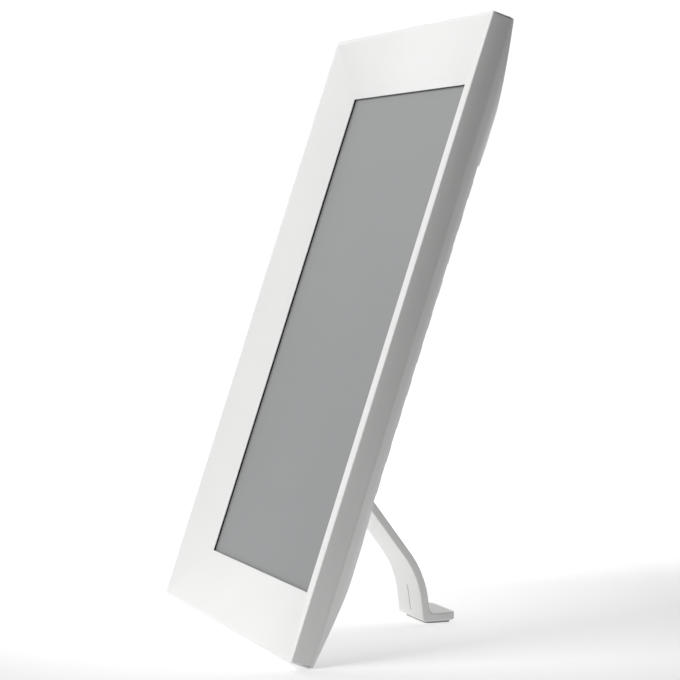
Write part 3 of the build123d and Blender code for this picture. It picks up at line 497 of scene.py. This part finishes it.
def screw_set(node, head_height, shank):
    """Pan-head screws with a cross recess, heads towards the back of the case."""
    places = solids_of(node)
    low, high = places[0]
    middle = (low + high) / 2
    radius = (high.x - low.x) / 2
    seat = low.z + head_height
    screw = drum(middle, radius, low.z, seat)
    edit_edges(screw, at_depth(low.z))
    bevel(HEAD_DOME * head_height, 4)
    close_edit()
    edit_faces(screw, lambda face: face.normal.z > FACING)
    bpy.ops.mesh.inset(thickness=radius - shank)
    push(z=high.z - seat - shank)
    push(z=shank)
    scale_about((middle.x, middle.y, high.z), TIP_SHARE)
    close_edit()
    span, width = RECESS_SPAN * radius, RECESS_WIDTH * radius
    top, floor = low.z - RECESS_OVER, low.z + RECESS_DEPTH * head_height
    bars = [block(middle.xy.to_3d() + Vector((-a, -b, top)), middle.xy.to_3d() + Vector((a, b, floor)))
            for a, b in ((span, width), (width, span))]
    for bar in bars:
        edit_faces(bar, lambda face: face.normal.z > FACING)
        scale_about((middle.x, middle.y, floor), RECESS_TAPER)
        close_edit()
        apply_modifier(screw, "BOOLEAN", operation="DIFFERENCE", object=bar, solver="EXACT")
        bpy.data.objects.remove(bar)
    copies = [copied(screw, other[0] - low) for other in places[1:]]
    settle(joined([screw] + copies), node + "_recessed", "case", zinc_steel, [node])


# ---------------------------------------------------------------- buttons
CAP_DIAMETER = 6.0 * MM
FLANGE_THICK = 0.7 * MM
FLANGE_EDGE = 0.1 * MM
CAP_SIDES = 64
CAP_ROUNDING = 0.35 * MM     # round the cap's face
DISH_STEPS = 5
DISH_DEPTH = 0.22 * MM


def key_cap(node):
    """A push button: turned cap with a rounded rim and a dished face, on its retaining flange."""
    low, high = case_box(node)
    middle = (low + high) / 2
    radius = CAP_DIAMETER / 2
    cap = drum(middle, radius, low.z, high.z - FLANGE_THICK, CAP_SIDES)
    edit_edges(cap, at_depth(low.z))
    bevel(CAP_ROUNDING, 4)
    close_edit()
    edit_faces(cap, lambda face: face.normal.z < -FLAT)
    step = (radius - CAP_ROUNDING) / (DISH_STEPS + 1)
    sunk = 0.0
    for i in range(1, DISH_STEPS + 1):
        reach = DISH_DEPTH * (1 - (1 - i / DISH_STEPS) ** 2)
        bpy.ops.mesh.inset(thickness=step, depth=sunk - reach)
        sunk = reach
    close_edit()
    edit_faces(cap, lambda face: face.normal.z > FLAT)
    push()
    scale_about((middle.x, middle.y, high.z - FLANGE_THICK), (high.x - low.x) / CAP_DIAMETER)
    push(z=FLANGE_THICK)
    close_edit()
    edit_edges(cap, at_depth(high.z))
    bevel(FLANGE_EDGE, 2)
    close_edit()
    settle(cap, node + "_cap", node + "_body", key_abs, [node])


# ---------------------------------------------------------------- sockets
TONGUE_CONTACTS = 5
TONGUE_PITCH = 0.8 * MM
TONGUE_THICK = 0.8 * MM
TONGUE_STRIP = 0.35 * MM     # width of a strip on the tongue
TONGUE_LIFT = 0.08 * MM      # the strips stand this far out of the tongue
TONGUE_TIP = 0.6 * MM
TONGUE_MOUTH = 0.5 * MM      # from the mouth of the socket to the strips
TONGUE_BACK = 1.0 * MM       # from the strips to the back of the socket
CARD_CONTACTS = 9
CARD_PITCH = 2.5 * MM
CARD_SPRING = 1.1 * MM       # width of a spring
CARD_SPRING_THICK = 0.15 * MM
CARD_SPRING_RISE = 0.5 * MM
CARD_SPRING_TIP = 4.0 * MM
CARD_REACH = 9.0 * MM        # from the springs' tips to the closed end of the socket
CARD_END = 0.3 * MM          # from their roots to that end
CARD_SHEET = 0.2 * MM        # sheet metal of the socket
CARD_SPRING_GAP = 0.05 * MM  # springs to the sheet behind them
STRIP_EDGE = 0.2             # rounding of a contact's edges, as a share of its thinner side


def contact_strip(low, high, tip_shift, tip_length):
    """A spring contact along the case's width, its tip at the low end bent and all its edges rounded."""
    strip = block(low, high)
    edit_all(strip)
    for share in (1.0, 0.5):
        cut = (low.x + tip_length * share, 0, 0)
        bpy.ops.mesh.bisect(plane_co=cut, plane_no=(1, 0, 0))
        bpy.ops.mesh.select_all(action="SELECT")
    close_edit()
    edit_faces(strip, lambda face: face.normal.x < -FACING)
    bpy.ops.transform.translate(value=(0, 0, tip_shift))
    close_edit()
    edit_edges(strip, lambda a, b: True, sharp_from=SQUARE_EDGES)
    bevel(STRIP_EDGE * min(high.y - low.y, high.z - low.z), 2)
    close_edit()
    return strip


def usb_contacts():
    """Five gold strips on the tongue of the USB socket."""
    low, high = case_box("usb_socket")
    middle = (low + high) / 2
    face = middle.z - TONGUE_THICK / 2
    first = middle.y - TONGUE_PITCH * (TONGUE_CONTACTS - 1) / 2
    start = Vector((low.x + TONGUE_MOUTH, first - TONGUE_STRIP / 2, face - TONGUE_LIFT))
    end = Vector((high.x - TONGUE_BACK, first + TONGUE_STRIP / 2, face))
    strip = contact_strip(start, end, TONGUE_LIFT / 2, TONGUE_TIP)
    strips = [strip] + [copied(strip, (0, i * TONGUE_PITCH, 0)) for i in range(1, TONGUE_CONTACTS)]
    settle(joined(strips), "usb_contacts", "case", gold_flash)


def card_contacts():
    """Nine gold springs across the card socket, their tips raised towards the card."""
    low, high = case_box("card_socket")
    middle = (low + high) / 2
    face = high.z - CARD_SHEET - CARD_SPRING_GAP
    first = middle.y - CARD_PITCH * (CARD_CONTACTS - 1) / 2
    start = Vector((high.x - CARD_REACH, first - CARD_SPRING / 2, face - CARD_SPRING_THICK))
    end = Vector((high.x - CARD_END, first + CARD_SPRING / 2, face))
    spring = contact_strip(start, end, -CARD_SPRING_RISE, CARD_SPRING_TIP)
    springs = [spring] + [copied(spring, (0, i * CARD_PITCH, 0)) for i in range(1, CARD_CONTACTS)]
    settle(joined(springs), "card_contacts", "case", gold_flash)


def rod(middle, radius, low, high, sides=32):
    """A round blank along the case's width, to be shaped further."""
    place = ((low + high) / 2, middle.y, middle.z)
    bpy.ops.mesh.primitive_cylinder_add(vertices=sides, radius=radius, depth=high - low, location=place,
                                        rotation=(0, math.pi / 2, 0))
    freeze()
    return bpy.context.object


JACK_PIN = 1.36 * MM
JACK_PIN_LENGTH = 3.0 * MM
JACK_PIN_SETBACK = 0.25 * MM
JACK_PIN_ROUNDING = 0.35 * JACK_PIN


def jack_pin():
    """The bright contact pin in the power jack, its tip rounded to lead the plug on."""
    low, high = case_box("dc_jack")
    mount = next(m for m in frame["record"]["mounts"] if m["name"] == "dc_inlet")
    start = low.x + mount["dims"]["length_mm"] * MM + JACK_PIN_SETBACK
    pin = rod((low + high) / 2, JACK_PIN / 2, start, start + JACK_PIN_LENGTH)
    edit_edges(pin, lambda a, b: max(a.x, b.x) < start + TOUCH)
    bevel(JACK_PIN_ROUNDING, 4)
    close_edit()
    settle(pin, "jack_pin", "case", nickel_plate)


# ---------------------------------------------------------------- speakers
CONE_RECESS = 0.9 * MM
CONE_MARGIN = 1.2 * MM
CONE_BACKING = 0.5 * MM      # the cone's blank is this thick
# from the frame inwards: width of each ring, and how far it rises towards the back
CONE_RINGS = ((0.5, 0.0), (0.35, 0.18), (0.35, 0.05), (0.35, -0.23), (1.2, -0.38), (0.25, 0.02),
              (0.3, 0.16), (0.4, 0.08))


def speaker_cone(node):
    """An oval paper cone: flat frame, rolled surround, sloping cone and domed dust cap."""
    low, high = case_box(node)
    floor = low.z + CONE_RECESS
    middle = (low + high) / 2
    across, along = (high.x - low.x) / 2 - CONE_MARGIN, (high.y - low.y) / 2 - CONE_MARGIN
    cone = drum(middle, across, floor - CONE_BACKING, floor)
    edit_all(cone)
    bpy.ops.transform.resize(value=(1, along / across, 1), center_override=middle)
    close_edit()
    edit_faces(cone, lambda face: face.normal.z < -FACING)
    for width, rise in CONE_RINGS:
        bpy.ops.mesh.inset(thickness=width * MM, depth=rise * MM)
    close_edit()
    settle(cone, node + "_cone", "case", speaker_pulp)


# ---------------------------------------------------------------- hinge and foot
HINGE_PIN_SIDES = 48         # the pin shows at both ends of the leg's barrel
HINGE_PIN_CHAMFER = 0.3 * MM


def chamfered_pin():
    """The hinge pin with its ends chamfered for driving it in."""
    low, high = case_box("hinge_pin")
    pin = rod((low + high) / 2, (high.y - low.y) / 2, low.x, high.x, HINGE_PIN_SIDES)
    edit_edges(pin, lambda a, b: True, sharp_from=SQUARE_EDGES)
    bevel(HINGE_PIN_CHAMFER, 2)
    close_edit()
    settle(pin, "hinge_pin_chamfered", "case", ground_steel, ["hinge_pin"])


PAD_CORNER = 2.0 * MM
PAD_GROOVES = 6
PAD_GROOVE_WIDTH = 0.9 * MM
PAD_GROOVE_DEPTH = 0.35 * MM


def ribbed_pad():
    """The rubber pad under the foot, with grooves across its sole that grip the table."""
    low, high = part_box("foot_pad")
    pad = block(low, high)
    edit_edges(pad, lambda a, b: abs(a.z - b.z) > 0.5 * (high.z - low.z))
    bevel(PAD_CORNER, 6)
    close_edit()
    pitch = (high.x - low.x) / (PAD_GROOVES + 1)
    starts = [low.x + i * pitch - PAD_GROOVE_WIDTH / 2 for i in range(1, PAD_GROOVES + 1)]
    for start in starts:
        for cut in (start, start + PAD_GROOVE_WIDTH):
            edit_all(pad)
            bpy.ops.mesh.bisect(plane_co=(cut, 0, 0), plane_no=(1, 0, 0))
            close_edit()

    def in_a_groove(face):
        place = face.center.x
        return face.normal.z < -FACING and any(start < place < start + PAD_GROOVE_WIDTH for start in starts)

    edit_faces(pad, in_a_groove)
    push(z=PAD_GROOVE_DEPTH)
    close_edit()
    settle(pad, "foot_pad_ribbed", "leg_arm", grey_silicone, ["foot_pad"], tilted=False)


front_moulding()
for node, (head_height, shank) in SCREWS.items():
    screw_set(node, head_height * MM, shank * MM)
for node in BUTTONS:
    key_cap(node)
usb_contacts()
card_contacts()
jack_pin()
for node in ("left_speaker", "right_speaker"):
    speaker_cone(node)
chamfered_pin()
ribbed_pad()


# ---------------------------------------------------------------- studio
FLOOR_SIDE = 6.0
POOL_REACH = 0.5             # the painted pool of glow round the foot of the object ends here
POOL_GLOW = 0.42
LEFT_GLOW = 0.9              # the left half glows on to where it meets the surround
LEFT_FULL, LEFT_END = -0.5, 0.18
FRONT_DARK, FRONT_END = -0.35, -0.05   # no glow in front of the object, so that the bezel keeps its shading


def studio_floor():
    """A pale table top whose emission is painted light: it glows round and behind the object and fades into the
    pale surround.
    """
    bpy.ops.mesh.primitive_plane_add(size=FLOOR_SIDE, location=(0, 0, 0))
    floor = bpy.context.object
    floor.name = "studio_floor"
    made, tree, shader = material("pale_table_painted_glow", Roughness=0.9, Emission_Strength=1.0)
    shader.inputs["Base Color"].default_value = tint("#dcdcdc")
    place = add(tree, "ShaderNodeTexCoord").outputs["Object"]
    away = add(tree, "ShaderNodeVectorMath", {0: place}, operation="LENGTH").outputs["Value"]
    pool = add(tree, "ShaderNodeMapRange", {"Value": away}, interpolation_type="SMOOTHSTEP",
               From_Max=POOL_REACH, To_Min=POOL_GLOW, To_Max=0.0)
    axes = add(tree, "ShaderNodeSeparateXYZ", {"Vector": place})
    left = add(tree, "ShaderNodeMapRange", {"Value": axes.outputs["X"]}, interpolation_type="SMOOTHSTEP",
               From_Min=LEFT_FULL, From_Max=LEFT_END, To_Min=LEFT_GLOW, To_Max=0.0)
    both = add(tree, "ShaderNodeMath", {0: pool.outputs["Result"], 1: left.outputs["Result"]},
               operation="ADD")
    behind = add(tree, "ShaderNodeMapRange", {"Value": axes.outputs["Y"]}, interpolation_type="SMOOTHSTEP",
                 From_Min=FRONT_DARK, From_Max=FRONT_END)
    glow = add(tree, "ShaderNodeMath", {0: both.outputs[0], 1: behind.outputs["Result"]},
               operation="MULTIPLY")
    # painted light: the floor's emission is a pool of glow round the object and over its left half, none in front;
    # it also lights the object from below
    tree.links.new(glow.outputs[0], shader.inputs["Emission Color"])
    floor.data.materials.append(made)


SURROUND_WHITE, SURROUND_DIM = 1.04, 0.05
WHITE_TO, DIM_FROM = -0.86, -0.35   # how far to the left a direction points, from 1 right to -1 left


def surround():
    """An even white on the left, behind the object as the camera sees it, dim all round the rest."""
    world = bpy.data.worlds.new("studio_surround")
    world.use_nodes = True
    tree = world.node_tree
    toward = add(tree, "ShaderNodeTexCoord").outputs["Generated"]
    side = add(tree, "ShaderNodeSeparateXYZ", {"Vector": toward}).outputs["X"]
    level = add(tree, "ShaderNodeMapRange", {"Value": side}, interpolation_type="SMOOTHSTEP",
                From_Min=WHITE_TO, From_Max=DIM_FROM, To_Min=SURROUND_WHITE, To_Max=SURROUND_DIM)
    tree.links.new(level.outputs["Result"], tree.nodes["Background"].inputs["Color"])
    bpy.context.scene.world = world


def softbox(name, place, size, power):
    """A square soft panel of light aimed at the middle of the frame."""
    light = bpy.data.lights.new(name, "AREA")
    light.size = size
    light.energy = power
    holder = bpy.data.objects.new(name, light)
    holder.location = place
    holder.rotation_euler = (AIM - Vector(place)).to_track_quat("-Z", "Y").to_euler()
    bpy.context.scene.collection.objects.link(holder)


AIM = Vector((0, 0, (cad_box[0][2] + cad_box[1][2]) / 2))
CAMERA_PLACE = (1.0024, -0.3441, 0.1798)
CAMERA_TURN = (86.957, 0.626, 70.832)   # degrees
CAMERA_LENS = 130.36
CAMERA_SENSOR = 36.0

studio_floor()
surround()
# a high key whitens the bezel and leaves the side wall grey; the others lift the left side, back and foot
softbox("key_front", (0.25, -1.62, 1.75), 1.3, 36.5)
softbox("fill_left", (-2.1, -0.5, 1.0), 1.0, 1.5)
softbox("top_back", (-0.7, 0.6, 1.9), 1.0, 7.5)

camera = bpy.data.cameras.new("camera")
camera.sensor_width = CAMERA_SENSOR
camera.lens = CAMERA_LENS
viewer = bpy.data.objects.new("camera", camera)
viewer.location = CAMERA_PLACE
viewer.rotation_euler = [math.radians(angle) for angle in CAMERA_TURN]
bpy.context.scene.collection.objects.link(viewer)
bpy.context.scene.camera = viewer
bpy.context.scene.view_settings.view_transform = "Standard"
